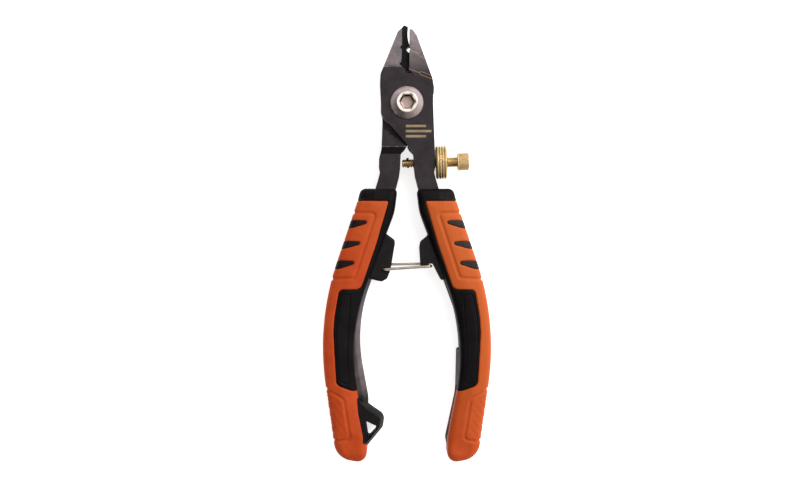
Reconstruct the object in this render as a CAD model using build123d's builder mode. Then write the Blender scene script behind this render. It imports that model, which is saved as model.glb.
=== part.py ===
from build123d import *

import os

# Adjustable wire-stripping pliers, lying flat. The pivot axis is the Z axis and the tool rests on z = 0.
# The jaws point to +Y, the handles to -Y. All sizes are in millimetres.
# Outlines are lists of corners: x, y and the radius that rounds the corner.

# Driving dimensions
MID_Z = 7.0  # height of the joint face between the two half-lapped levers
STEEL_THICKNESS = 8.0
LAP_GAP = 0.05  # each lever stops this far short of the joint face
REAR_Z = MID_Z - STEEL_THICKNESS / 2
FRONT_Z = MID_Z + STEEL_THICKNESS / 2

HUB_RADIUS = 10.4
HUB_CLEARANCE_RADIUS = 10.5
HUB_HALF_WIDTH = 9.7
NECK_STEP = 1.0  # the necks are this much thinner, on one face
TANG_THICKNESS = 4.0

PIVOT_HEAD_RADIUS = 6.1
PIVOT_HEAD_HEIGHT = 2.5
PIVOT_LAND_RADIUS = 3.8
PIVOT_HEAD_RIM = 0.5
PIVOT_HEAD_CROWN = 0.12  # bulge of the head's sloping side
PIVOT_SHANK_LENGTH = 6.5
PIVOT_SOCKET_FLATS = 5.0
PIVOT_SOCKET_DEPTH = 2.0
PIVOT_SHANK_RADIUS = 2.5
BARREL_RADIUS = 3.5
BARREL_RECESS = 0.4  # the barrel ends this far below the bolt's head
RUNNING_CLEARANCE = 0.05

SPRING_WIRE_RADIUS = 0.5
SPRING_COIL_RADIUS = 5.9
SPRING_TURNS = 2.5
SPRING_PITCH = 1.05
SPRING_POCKET_DEPTH = 1.9
SPRING_POCKET_WIDTH = 3.0
SPRING_LEG_LENGTH = 1.6
SPRING_LEG_RADIUS = 0.475

SCREW_TIP = (-1.8, -22.3, MID_Z)
SCREW_DIRECTION = (25.0, 0.75, 0)
SCREW_THREAD_RADIUS = 1.67
SCREW_SHANK_RADIUS = 1.87
SCREW_HEAD_RADIUS = 3.35
SCREW_HEAD_START = 20.6
SCREW_LENGTH = 25.0
SCREW_SHANK_START = 16.75
SCREW_END_EDGE = 0.4
NUT_RADIUS = 6.25
NUT_THICKNESS = 4.1
NUT_START = 12.6
NUT_COUNTERBORE_DEPTH = 1.9
STOP_PIN_RADIUS = 0.45
STOP_PIN_FROM_TIP = 2.1
STOP_PIN_PROUD = 0.35

GRIP_THICKNESS = 2 * MID_Z
GRIP_EDGE_RADIUS = 2.4
COVER_SKIN = 2.2
INLAY_DEPTH = 1.0
SPINE_THICKNESS = 8.0
SPINE_DRAFT = 24.0  # degrees that the strip's sides lean
PIVOT_TAB_EDGE_RADIUS = 0.8
HOOK_TAB_EDGE_RADIUS = 0.18
EYE_THICKNESS = 12.0
EYE_DRAFT = 13.0

BAIL_PIVOT = (-8.6, -61.95)
BAIL_HOOK = (8.85, -60.7)
BAIL_CRANK_RIGHT = (5.6, -59.95)  # the rear leg is cranked towards the pivot between these two bends
BAIL_CRANK_LEFT = (-6.0, -60.15)
BAIL_CRANK_RADIUS = 1.0
BAIL_WIRE_RADIUS = 0.55
BAIL_LEG_OFFSET = 4.8  # from the joint face to each leg's centre line
BAIL_BEND_RADIUS = 1.2
BAIL_PEG_BEND_RADIUS = 0.75
BAIL_PEG_LENGTH = 2.6

# Jaws. A land is the thick back of a jaw, and a blade is the half-thickness layer with the cutting edge.
LEFT_JAW_BACK = [(-9.7, 0, 0), (-10.05, 6.5, 4), (-9.9, 10.5, 4), (-3.3, 26.9, 3)]
LEFT_LAND = LEFT_JAW_BACK + [
    (-1.85, 28.0, 0.3),
    (-1.85, 21.7, 0),
    (-2.6, 20.7, 0),
    (-1.85, 19.7, 0),
    (-2.15, 15.3, 0),
    (-3.0, 14.5, 0),
    (-0.65, 12.3, 0),
    (-0.5, 11.0, 0),
    (2.0, 11.0, 0.2),
    (2.0, 0, 0),
]
LEFT_BLADE = LEFT_JAW_BACK + [
    (-1.05, 29.7, 0.6),
    (0.4, 28.9, 0.3),
    (0.1, 24.9, 12),
    (1.05, 21.9, 0),
    (1.05, 21.5, 0),
    (0.55, 21.5, 0),
    (-0.4, 20.5, 0),
    (0.55, 19.4, 0),
    (1.05, 19.4, 0),
    (1.05, 13.3, 0.3),
    (0.75, 12.65, 0.3),
    (-2.5, 11.2, 0),
    (-2.5, 0, 0),
]
RIGHT_JAW_BACK = [(9.7, 0, 0), (10.05, 5.5, 4), (9.5, 9.0, 4), (3.7, 25.1, 2)]
RIGHT_LAND = RIGHT_JAW_BACK + [
    (2.6, 26.6, 0),
    (2.6, 15.3, 0),
    (3.2, 14.5, 0),
    (0.9, 12.3, 0),
    (-2.0, 11.0, 0.3),
    (-2.0, 0, 0),
]
RIGHT_BLADE = RIGHT_JAW_BACK + [
    (2.2, 27.3, 0.8),
    (0.9, 27.75, 0.4),
    (0.9, 21.1, 0),
    (1.5, 20.25, 0),
    (0.9, 19.4, 0),
    (0.9, 13.4, 0.3),
    (0.55, 12.5, 0.4),
    (2.25, 10.9, 0),
    (2.25, 0, 0),
]
JAW_STEP_Y = 13.5  # the jaw faces are lower than the hub from here to the tip
JAW_STEP_RAMP = 1.3  # run of the step's slope, up to a millimetre above the hub's face

# Lever below the hub, for the right-hand side. The rear lever's shoulder is a little narrower.
FRONT_SHOULDER_EDGE = [(9.9, -6.4, 10), (10.25, -15.0, 10), (10.45, -20.0, 8), (10.45, -24.2, 2)]
REAR_SHOULDER_EDGE = [(9.2, -6.4, 10), (9.3, -13.0, 8), (9.5, -17.2, 2), (10.4, -20.8, 2), (10.45, -24.2, 2)]
NECK_OUTER_EDGE = [(10.1, -25.9, 2), (10.65, -28.2, 4), (11.9, -32.3, 0), (13.0, -35.5, 10)]
TANG_END = [(26.4, -72.0, 30), (27.6, -90.0, 1.5), (21.8, -90.5, 1.5), (20.4, -74.0, 30), (5.3, -36.0, 10)]
NECK_INNER_EDGE = [(4.2, -32.0, 8), (3.0, -27.4, 8), (2.5, -23.6, 8)]
NECK_AND_TANG = NECK_OUTER_EDGE + TANG_END + NECK_INNER_EDGE
PLATE_ACROSS_HUB = [
    (2.4, -18.6, 1),
    (0.3, -15.8, 0),
    (-9.0, -5.1, 0.3),
    (-9.35, -4.4, 0.4),
    (-9.7, 0, 0),
    (9.7, 0, 0),
]
SHOULDER_TOP = [(2.35, -18.8, 1.5), (1.0, -17.5, 0.8), (0.1, -16.0, 0.2)]
FRONT_PLATE = FRONT_SHOULDER_EDGE + NECK_AND_TANG + PLATE_ACROSS_HUB
REAR_PLATE = REAR_SHOULDER_EDGE + NECK_AND_TANG + PLATE_ACROSS_HUB
FRONT_SHOULDER = FRONT_SHOULDER_EDGE[1:] + NECK_AND_TANG + SHOULDER_TOP + [(9.95, -8.3, 0.3)]
REAR_SHOULDER = REAR_SHOULDER_EDGE[1:] + NECK_AND_TANG + SHOULDER_TOP + [(9.2, -8.9, 0.3)]

# Right-hand grip, seen from the front
GRIP_OUTLINE = [
    (3.6, -32.2, 1.2),
    (17.2, -31.8, 2.5),
    (18.35, -36.5, 6),
    (33.55, -81.5, 98),
    (26.3, -131.8, 7.2),
    (14.8, -133.8, 3.4),
    (15.0, -124.0, 8),
    (22.3, -87.7, 74),
    (4.6, -40.5, 20),
]
BLACK_FACE = [
    (6.7, -36.6, 0.5),
    (11.3, -52.4, 40),
    (17.1, -69.2, 2.5),
    (25.0, -69.4, 1.6),
    (27.3, -82.5, 50),
    (26.0, -104.5, 2.2),
    (20.3, -106.7, 5),
    (-2.0, -107.2, 0),
    (-2.0, -30.0, 0),
    (22.0, -30.0, 0),
    (22.0, -36.6, 0),
]
PALM_PANEL = [
    (21.0, -71.4, 1.0),
    (24.0, -71.4, 1.0),
    (26.3, -82.5, 50),
    (25.0, -102.9, 2.0),
    (21.1, -104.6, 1.0),
    (22.4, -94.0, 40),
]
# Each rib inlay is its tip, and its height at the outer edge
INLAYS = [((14.8, -44.3), 3.4), ((17.35, -52.0), 3.3), ((19.5, -59.2), 3.6)]
INLAY_TIP_RADIUS = 0.5
INLAY_LENGTH = 14.0
STRIP_INSIDE_GRIP = [
    (7.4, -49.1, 0),
    (12.5, -46.5, 0),
    (27.0, -87.7, 74),
    (21.5, -116.0, 20),
    (20.5, -131.0, 0),
]
HOOK_SIDE_STRIP = STRIP_INSIDE_GRIP + [
    (15.6, -131.0, 0),
    (14.2, -124.5, 4),
    (18.0, -107.0, 20),
    (18.4, -91.4, 0),
    (19.5, -91.0, 0),
    (19.85, -83.0, 28),
]
PIVOT_SIDE_STRIP = STRIP_INSIDE_GRIP + [
    (15.8, -131.0, 0),
    (14.6, -127.5, 4),
    (14.4, -109.5, 10),
    (19.3, -83.0, 58),
]
HOOK_TAB = [
    (11.0, -48.9, 0),
    (7.7, -49.2, 0.4),
    (5.0, -51.4, 1.5),
    (4.6, -53.5, 2),
    (5.05, -60.8, 0.5),
    (8.05, -60.8, 0.2),
    (8.05, -59.8, 0.3),
    (9.6, -59.8, 0.6),
    (11.0, -62.6, 3),
    (12.7, -65.9, 0.6),
    (15.0, -65.4, 0),
]
PIVOT_TAB = [
    (11.0, -48.6, 0),
    (7.4, -48.8, 0.4),
    (4.6, -50.9, 1.2),
    (4.5, -52.3, 1.2),
    (5.7, -59.5, 6),
    (6.3, -62.6, 3),
    (7.4, -65.4, 1.8),
    (9.4, -66.5, 1.8),
    (15.0, -65.2, 0),
]
LANYARD_EYE = [
    (19.5, -106.0, 0),
    (14.6, -111.9, 10),
    (8.3, -116.2, 3.2),
    (9.0, -120.9, 3.0),
    (14.6, -127.6, 0),
    (19.5, -127.4, 0),
]
LANYARD_HOLE = [(15.7, -117.5, 0.6), (11.0, -119.8, 0.9), (12.0, -122.4, 1.2), (14.6, -125.2, 0.6)]


os.makedirs("parts", exist_ok=True)


def face_of(corners):
    """Closed face whose corners are rounded."""
    with BuildSketch() as face:
        with BuildLine():
            FilletPolyline([(x, y) for x, y, _ in corners], radius=[r for _, _, r in corners], close=True)
        make_face()
    return face.sketch


def mirrored(face):
    """The same face on the other side of the pivot."""
    return mirror(face, about=Plane.YZ)


def hub_face():
    """Round hub with flat sides."""
    with BuildSketch() as hub:
        Circle(HUB_RADIUS)
        Rectangle(2 * HUB_HALF_WIDTH, 4 * HUB_RADIUS, mode=Mode.INTERSECT)
    return hub.sketch


def plate_layer(land, lever):
    """Half-thickness layer that carries the hub."""
    with BuildSketch() as layer:
        add(hub_face())
        add(land)
        add(lever)
    return layer.sketch


def blade_layer(blade, lever):
    """Half-thickness layer that stops short of the other lever's hub."""
    with BuildSketch() as layer:
        add(blade)
        add(lever)
        Circle(HUB_CLEARANCE_RADIUS, mode=Mode.SUBTRACT)
    return layer.sketch


def lever_blank(front, rear):
    """Front and rear layers joined where both are present, with the pivot bore and the spring's pocket."""
    half = STEEL_THICKNESS / 2 - LAP_GAP
    with BuildPart() as blank:
        with BuildSketch(Plane.XY.offset(MID_Z + LAP_GAP)):
            add(front)
        extrude(amount=half)
        with BuildSketch(Plane.XY.offset(REAR_Z)):
            add(rear)
        extrude(amount=half)
        with BuildSketch(Plane.XY.offset(MID_Z - LAP_GAP)):
            add(front)
            add(rear, mode=Mode.INTERSECT)
        extrude(amount=2 * LAP_GAP)
        with BuildSketch():
            Circle(BARREL_RADIUS + RUNNING_CLEARANCE)
        extrude(amount=GRIP_THICKNESS, mode=Mode.SUBTRACT)
        with BuildSketch(Plane.XY.offset(MID_Z)):
            Circle(SPRING_COIL_RADIUS + SPRING_POCKET_WIDTH / 2)
            Circle(SPRING_COIL_RADIUS - SPRING_POCKET_WIDTH / 2, mode=Mode.SUBTRACT)
        extrude(amount=LAP_GAP + SPRING_POCKET_DEPTH, both=True, mode=Mode.SUBTRACT)
    return blank.part


def side_wedge(profile, low_x, high_x):
    """Prism across the tool between two values of x, from a profile in y and z."""
    with BuildPart() as wedge:
        with BuildSketch(Plane.YZ.offset(low_x)):
            with BuildLine():
                Polyline(profile, close=True)
            make_face()
        extrude(amount=high_x - low_x)
    return wedge.part


def turned_over(profile):
    """The same profile in y and z on the rear face."""
    return [(y, 2 * MID_Z - z) for y, z in profile]


def button_head_face(height):
    """Half section of a button head, as radius and height above its seat."""
    shoulder = (PIVOT_HEAD_RADIUS, PIVOT_HEAD_RIM)
    land = (PIVOT_LAND_RADIUS, height)
    with BuildSketch() as face:
        with BuildLine():
            Polyline(land, (0, height), (0, 0), (PIVOT_HEAD_RADIUS, 0), shoulder)
            SagittaArc(shoulder, land, PIVOT_HEAD_CROWN)
        make_face()
    return face.sketch


# Steel levers. The front lever is the left jaw and the right handle, and the rear lever is the other two.
BEYOND_FRONT = FRONT_Z + 1
TANG_FRONT = MID_Z + TANG_THICKNESS / 2
TANG_START_Y = -33.0
TANG_END_Y = -95.0
jaw_taper = [(7.0, 10.65), (31.0, 9.7), (31.0, BEYOND_FRONT), (7.0, BEYOND_FRONT)]
land_taper = [(JAW_STEP_Y, 10.4), (31.0, 9.7), (31.0, BEYOND_FRONT), (JAW_STEP_Y - JAW_STEP_RAMP, BEYOND_FRONT)]
neck_step = [
    (-16.3, FRONT_Z),
    (-18.9, FRONT_Z - NECK_STEP),
    (TANG_END_Y, FRONT_Z - NECK_STEP),
    (TANG_END_Y, BEYOND_FRONT),
    (-16.3, BEYOND_FRONT),
]
tang_step = [
    (TANG_START_Y, TANG_FRONT),
    (TANG_END_Y, TANG_FRONT),
    (TANG_END_Y, BEYOND_FRONT),
    (TANG_START_Y, BEYOND_FRONT),
]
screw_plane = Plane(origin=SCREW_TIP, x_dir=(0, 0, 1), z_dir=SCREW_DIRECTION)
spring_height = SPRING_TURNS * SPRING_PITCH
spring_low_z = MID_Z - spring_height / 2
spring_high_z = MID_Z + spring_height / 2
LEG_HOLE_RADIUS = SPRING_WIRE_RADIUS + RUNNING_CLEARANCE
LEG_HOLE_DEPTH = 1.0

with BuildPart() as front_lever:
    add(
        lever_blank(
            plate_layer(face_of(LEFT_LAND), face_of(FRONT_PLATE)),
            blade_layer(face_of(LEFT_BLADE), face_of(FRONT_SHOULDER)),
        )
    )
    add(side_wedge(land_taper, -12, 2), mode=Mode.SUBTRACT)
    add(side_wedge(turned_over(jaw_taper), -12, 2), mode=Mode.SUBTRACT)
    add(side_wedge(turned_over(neck_step), 0, 40), mode=Mode.SUBTRACT)
    for step in (tang_step, turned_over(tang_step)):
        add(side_wedge(step, 0, 40), mode=Mode.SUBTRACT)
    with BuildSketch(screw_plane):
        Circle(SCREW_THREAD_RADIUS + RUNNING_CLEARANCE)
    extrude(amount=SCREW_LENGTH, mode=Mode.SUBTRACT)
    with BuildSketch(Plane.XY.offset(MID_Z)):
        with Locations((-SPRING_COIL_RADIUS, 0)):
            Circle(LEG_HOLE_RADIUS)
    extrude(amount=SPRING_POCKET_DEPTH + LEG_HOLE_DEPTH, mode=Mode.SUBTRACT)
front_lever.part.label = "front_lever"
export_step(front_lever.part, "parts/front_lever.step")

with BuildPart() as rear_lever:
    add(
        lever_blank(
            blade_layer(face_of(RIGHT_BLADE), mirrored(face_of(REAR_SHOULDER))),
            plate_layer(face_of(RIGHT_LAND), mirrored(face_of(REAR_PLATE))),
        )
    )
    add(side_wedge(jaw_taper, -2, 12), mode=Mode.SUBTRACT)
    add(side_wedge(turned_over(land_taper), -2, 12), mode=Mode.SUBTRACT)
    add(side_wedge(neck_step, -40, 0), mode=Mode.SUBTRACT)
    for step in (tang_step, turned_over(tang_step)):
        add(side_wedge(step, -40, 0), mode=Mode.SUBTRACT)
    with BuildSketch(Plane.XY.offset(MID_Z)):
        with Locations((SPRING_COIL_RADIUS, 0)):
            Circle(LEG_HOLE_RADIUS)
    extrude(amount=-SPRING_POCKET_DEPTH - LEG_HOLE_DEPTH, mode=Mode.SUBTRACT)
rear_lever.part.label = "rear_lever"
export_step(rear_lever.part, "parts/rear_lever.step")

# Pivot: a button-head bolt screws into the barrel of a sleeve nut, which is the axle of both levers.
rear_seat_z = REAR_Z - LAP_GAP
barrel_top_z = FRONT_Z - BARREL_RECESS

with BuildPart() as pivot_bolt:
    with BuildSketch(Plane(origin=(0, 0, FRONT_Z), x_dir=(1, 0, 0), z_dir=(0, -1, 0))):
        add(button_head_face(PIVOT_HEAD_HEIGHT))
    revolve(axis=Axis.Z)
    with BuildSketch(Plane.XY.offset(FRONT_Z + PIVOT_HEAD_HEIGHT)):
        RegularPolygon(PIVOT_SOCKET_FLATS / 2, 6, major_radius=False)
    extrude(amount=-PIVOT_SOCKET_DEPTH, mode=Mode.SUBTRACT)
    with BuildSketch(Plane.XY.offset(FRONT_Z)):
        Circle(PIVOT_SHANK_RADIUS)
    extrude(amount=-PIVOT_SHANK_LENGTH)
pivot_bolt.part.label = "pivot_bolt"
export_step(pivot_bolt.part, "parts/pivot_bolt.step")

with BuildPart() as pivot_nut:
    with BuildSketch(Plane(origin=(0, 0, rear_seat_z), x_dir=(1, 0, 0), z_dir=(0, 1, 0))):
        add(button_head_face(rear_seat_z))
    revolve(axis=Axis.Z)
    with BuildSketch(Plane.XY.offset(rear_seat_z)):
        Circle(BARREL_RADIUS)
    extrude(amount=barrel_top_z - rear_seat_z)
    with BuildSketch(Plane.XY.offset(barrel_top_z)):
        Circle(PIVOT_SHANK_RADIUS + RUNNING_CLEARANCE)
    extrude(amount=-PIVOT_SHANK_LENGTH, mode=Mode.SUBTRACT)
pivot_nut.part.label = "pivot_nut"
export_step(pivot_nut.part, "parts/pivot_nut.step")

# Opening spring, coiled round the barrel, with a leg down into the rear lever and one up into the front lever
with BuildPart() as torsion_spring:
    with BuildLine():
        coil = Helix(SPRING_PITCH, spring_height, SPRING_COIL_RADIUS, center=(0, 0, spring_low_z))
    with BuildSketch(Plane(origin=coil @ 0, z_dir=coil % 0)):
        Circle(SPRING_WIRE_RADIUS)
    sweep(path=coil, is_frenet=True)
    for leg_x, leg_z, reach in (
        (SPRING_COIL_RADIUS, spring_low_z, -SPRING_LEG_LENGTH),
        (-SPRING_COIL_RADIUS, spring_high_z, SPRING_LEG_LENGTH),
    ):
        with BuildSketch(Plane.XY.offset(leg_z)):
            with Locations((leg_x, 0)):
                Circle(SPRING_LEG_RADIUS)
        extrude(amount=reach)
torsion_spring.part.label = "torsion_spring"
export_step(torsion_spring.part, "parts/torsion_spring.step")

# Stop screw through the right-hand neck, its retaining pin and its lock nut
pin_plane = Plane(
    origin=screw_plane.offset(STOP_PIN_FROM_TIP).origin,
    z_dir=(-SCREW_DIRECTION[1], SCREW_DIRECTION[0], 0),
)
pin_length = 2 * SCREW_THREAD_RADIUS + STOP_PIN_PROUD

with BuildPart() as stop_screw_pin:
    with BuildSketch(pin_plane.offset(-SCREW_THREAD_RADIUS)):
        Circle(STOP_PIN_RADIUS)
    extrude(amount=pin_length)
stop_screw_pin.part.label = "stop_screw_pin"
export_step(stop_screw_pin.part, "parts/stop_screw_pin.step")

with BuildPart() as stop_screw:
    with BuildSketch(screw_plane):
        Circle(SCREW_THREAD_RADIUS)
    extrude(amount=SCREW_SHANK_START)
    with BuildSketch(screw_plane.offset(SCREW_SHANK_START)):
        Circle(SCREW_SHANK_RADIUS)
    extrude(amount=SCREW_HEAD_START - SCREW_SHANK_START)
    with BuildSketch(screw_plane.offset(SCREW_HEAD_START)):
        Circle(SCREW_HEAD_RADIUS)
    extrude(amount=SCREW_LENGTH - SCREW_HEAD_START)
    fillet(stop_screw.edges().group_by(Axis.X)[-1], radius=SCREW_END_EDGE)
    chamfer(stop_screw.edges().group_by(Axis.X)[0], length=SCREW_END_EDGE)
    with BuildSketch(pin_plane):
        Circle(STOP_PIN_RADIUS)
    extrude(amount=2 * SCREW_THREAD_RADIUS, both=True, mode=Mode.SUBTRACT)
stop_screw.part.label = "stop_screw"
export_step(stop_screw.part, "parts/stop_screw.step")

with BuildPart() as lock_nut:
    with BuildSketch(screw_plane.offset(NUT_START)):
        Circle(NUT_RADIUS)
        Circle(SCREW_THREAD_RADIUS + RUNNING_CLEARANCE, mode=Mode.SUBTRACT)
    extrude(amount=NUT_THICKNESS)
    with BuildSketch(screw_plane.offset(NUT_START + NUT_THICKNESS)):
        Circle(SCREW_SHANK_RADIUS + RUNNING_CLEARANCE)
    extrude(amount=-NUT_COUNTERBORE_DEPTH, mode=Mode.SUBTRACT)
lock_nut.part.label = "lock_nut"
export_step(lock_nut.part, "parts/lock_nut.step")

# Bail: one wire, from a peg in one side of the left-hand tab, round the hook of the other tab and back
front_leg_z = MID_Z + BAIL_LEG_OFFSET
rear_leg_z = MID_Z - BAIL_LEG_OFFSET
with BuildPart() as bail:
    with BuildLine():
        bail_route = FilletPolyline(
            (*BAIL_PIVOT, front_leg_z - BAIL_PEG_LENGTH),
            (*BAIL_PIVOT, front_leg_z),
            (*BAIL_HOOK, front_leg_z),
            (*BAIL_HOOK, rear_leg_z),
            (*BAIL_CRANK_RIGHT, rear_leg_z),
            (*BAIL_CRANK_LEFT, rear_leg_z),
            (*BAIL_PIVOT, rear_leg_z),
            (*BAIL_PIVOT, rear_leg_z + BAIL_PEG_LENGTH),
            radius=[
                BAIL_PEG_BEND_RADIUS,
                BAIL_BEND_RADIUS,
                BAIL_BEND_RADIUS,
                BAIL_CRANK_RADIUS,
                BAIL_CRANK_RADIUS,
                BAIL_PEG_BEND_RADIUS,
            ],
        )
    with BuildSketch(Plane(origin=bail_route @ 0, z_dir=(0, 0, 1))):
        Circle(BAIL_WIRE_RADIUS)
    sweep(path=bail_route)
bail.part.label = "bail"
export_step(bail.part, "parts/bail.step")


# Grips. Each is modelled on the right and mirrored for the left.
def prism(face, low_z, high_z):
    """Upright prism between two heights."""
    with BuildPart() as solid:
        with BuildSketch(Plane.XY.offset(low_z)):
            add(face)
        extrude(amount=high_z - low_z)
    return solid.part


def centred_prism(face, thickness):
    """Upright prism centred on the joint face."""
    return prism(face, MID_Z - thickness / 2, MID_Z + thickness / 2)


def drafted_prism(face, thickness, draft):
    """Upright prism centred on the joint face, whose sides lean in towards both ends."""
    with BuildPart() as solid:
        with BuildSketch(Plane.XY.offset(MID_Z)):
            add(face)
        extrude(amount=thickness / 2, taper=draft)
        mirror(about=Plane.XY.offset(MID_Z))
    return solid.part


def end_edges(solid):
    """Edges of the lowest and highest faces."""
    ends = solid.faces().sort_by(Axis.Z)
    return ends[0].edges() + ends[-1].edges()


def rounded_prism(face, thickness, radius):
    """Upright prism centred on the joint face, with its two faces' edges rounded."""
    with BuildPart() as solid:
        add(centred_prism(face, thickness))
        fillet(end_edges(solid), radius=radius)
    return solid.part


def inset_grip(depth):
    """The grip's body, smaller all round by a depth."""
    with BuildSketch() as face:
        add(face_of(GRIP_OUTLINE))
        offset(amount=-depth, mode=Mode.REPLACE)
    return centred_prism(face.sketch, GRIP_THICKNESS - 2 * depth)


def inlay_face(tip, height):
    """Curved rib that runs from its tip out past the grip's outer edge."""
    x, y = tip
    return face_of(
        [
            (x, y + 0.35, INLAY_TIP_RADIUS),
            (x + INLAY_LENGTH, y + 1.1, 0),
            (x + INLAY_LENGTH, y - height, 0),
            (x + 5.5, y + 1.1 - height, 4),
            (x, y - 0.65, INLAY_TIP_RADIUS),
        ]
    )


with BuildPart() as grip_blank:
    add(centred_prism(face_of(GRIP_OUTLINE), GRIP_THICKNESS))
    fillet(end_edges(grip_blank), radius=GRIP_EDGE_RADIUS)

with BuildPart() as black_face_prism:
    add(centred_prism(face_of(BLACK_FACE), GRIP_THICKNESS))

with BuildPart() as inlay_set:
    for tip, height in INLAYS:
        add(centred_prism(inlay_face(tip, height), GRIP_THICKNESS))
    add(grip_blank.part, mode=Mode.INTERSECT)
    add(inset_grip(INLAY_DEPTH), mode=Mode.SUBTRACT)

with BuildPart() as panel_set:
    add(centred_prism(face_of(PALM_PANEL), GRIP_THICKNESS))
    add(inset_grip(INLAY_DEPTH), mode=Mode.SUBTRACT)

with BuildPart() as hook_spine:
    add(drafted_prism(face_of(HOOK_SIDE_STRIP), SPINE_THICKNESS, SPINE_DRAFT))
    add(rounded_prism(face_of(HOOK_TAB), SPINE_THICKNESS, HOOK_TAB_EDGE_RADIUS))

with BuildPart() as pivot_spine:
    add(drafted_prism(face_of(PIVOT_SIDE_STRIP), SPINE_THICKNESS, SPINE_DRAFT))
    add(rounded_prism(face_of(PIVOT_TAB), SPINE_THICKNESS, PIVOT_TAB_EDGE_RADIUS))
    add(drafted_prism(face_of(LANYARD_EYE), EYE_THICKNESS, EYE_DRAFT))
    add(centred_prism(face_of(LANYARD_HOLE), EYE_THICKNESS), mode=Mode.SUBTRACT)
    with BuildSketch():
        with Locations((-BAIL_PIVOT[0], BAIL_PIVOT[1])):
            Circle(BAIL_WIRE_RADIUS + RUNNING_CLEARANCE)
    extrude(amount=GRIP_THICKNESS, mode=Mode.SUBTRACT)

with BuildPart() as tang:
    add(centred_prism(face_of(FRONT_PLATE), STEEL_THICKNESS))
    for step in (tang_step, turned_over(tang_step)):
        add(side_wedge(step, 0, 40), mode=Mode.SUBTRACT)

for side, spine_piece in (("right", hook_spine), ("left", pivot_spine)):
    with BuildPart() as spine:
        add(spine_piece.part)
        add(tang.part, mode=Mode.SUBTRACT)
        if side == "left":
            mirror(about=Plane.YZ, mode=Mode.REPLACE)
    spine.part.label = f"{side}_spine"
    export_step(spine.part, f"parts/{side}_spine.step")

    with BuildPart() as core:
        add(grip_blank.part)
        add(black_face_prism.part, mode=Mode.INTERSECT)
        add(inset_grip(COVER_SKIN))
        for inner in (tang, spine_piece, panel_set):
            add(inner.part, mode=Mode.SUBTRACT)
        if side == "left":
            mirror(about=Plane.YZ, mode=Mode.REPLACE)
    core.part.label = f"{side}_grip_core"
    export_step(core.part, f"parts/{side}_grip_core.step")

    with BuildPart() as cover:
        add(grip_blank.part)
        add(inset_grip(COVER_SKIN), mode=Mode.SUBTRACT)
        for inner in (black_face_prism, spine_piece, inlay_set):
            add(inner.part, mode=Mode.SUBTRACT)
        if side == "left":
            mirror(about=Plane.YZ, mode=Mode.REPLACE)
    cover.part.label = f"{side}_grip_cover"
    export_step(cover.part, f"parts/{side}_grip_cover.step")

    with BuildPart() as inlays:
        add(inlay_set.part)
        if side == "left":
            mirror(about=Plane.YZ, mode=Mode.REPLACE)
    inlays.part.label = f"{side}_grip_inlays"
    export_step(inlays.part, f"parts/{side}_grip_inlays.step")

    with BuildPart() as panels:
        add(panel_set.part)
        if side == "left":
            mirror(about=Plane.YZ, mode=Mode.REPLACE)
    panels.part.label = f"{side}_palm_panels"
    export_step(panels.part, f"parts/{side}_palm_panels.step")
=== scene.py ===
import math

import bmesh
import bpy
import numpy as np
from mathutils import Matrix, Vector


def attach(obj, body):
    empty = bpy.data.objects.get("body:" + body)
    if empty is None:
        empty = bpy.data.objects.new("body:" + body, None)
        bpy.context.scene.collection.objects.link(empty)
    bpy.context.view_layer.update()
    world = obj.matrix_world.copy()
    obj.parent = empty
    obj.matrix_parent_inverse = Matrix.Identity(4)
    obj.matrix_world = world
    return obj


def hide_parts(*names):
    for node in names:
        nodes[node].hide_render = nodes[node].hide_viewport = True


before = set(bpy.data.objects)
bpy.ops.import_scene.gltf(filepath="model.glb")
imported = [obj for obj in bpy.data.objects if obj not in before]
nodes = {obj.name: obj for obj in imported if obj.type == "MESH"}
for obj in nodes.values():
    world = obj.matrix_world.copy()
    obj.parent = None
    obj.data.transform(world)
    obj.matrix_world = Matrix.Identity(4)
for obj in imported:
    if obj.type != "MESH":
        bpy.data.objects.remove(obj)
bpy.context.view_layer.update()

# Mesh shapes are written in millimetres and scaled to metres, and shader values are in metres.
# Right-hand grips have x > 0, and the left-hand ones are the same shapes with x mirrored.
MM = 0.001
MID_Z = 7.0  # the face where the two levers meet
PLATE_Z = 11.0  # the front of the hub
scene = bpy.context.scene


def placed(name, data):
    """A new object, in the scene."""
    obj = bpy.data.objects.new(name, data)
    scene.collection.objects.link(obj)
    return obj


# Camera, straight above the tool
CAMERA_OVER = (-0.0026, -0.0547)
CAMERA_HEIGHT = 0.367
camera = placed("camera", bpy.data.cameras.new("camera"))
camera.location = (*CAMERA_OVER, CAMERA_HEIGHT)
camera.data.lens = 43.2
camera.data.sensor_width = 36
camera.data.clip_start = 0.01
scene.camera = camera
scene.view_settings.view_transform = "Standard"


# Soft lights: a large key from the upper right, and a broad one over the tool
AIM = Vector((0, -0.055, 0.007))


def area_light(name, location, size, power, colour):
    data = bpy.data.lights.new(name, "AREA")
    data.shape = "RECTANGLE"
    data.size, data.size_y = size
    data.energy = power
    data.color = colour
    light = placed(name, data)
    light.location = location
    light.rotation_euler = (AIM - Vector(location)).to_track_quat("-Z", "Y").to_euler()


area_light("key", (0.42, 0.30, 0.46), (0.35, 0.35), 2.4, (1.0, 0.97, 0.93))
area_light("overhead", (0.22, 0.26, 0.70), (0.30, 0.30), 0.8, (1.0, 0.99, 0.97))

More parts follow.
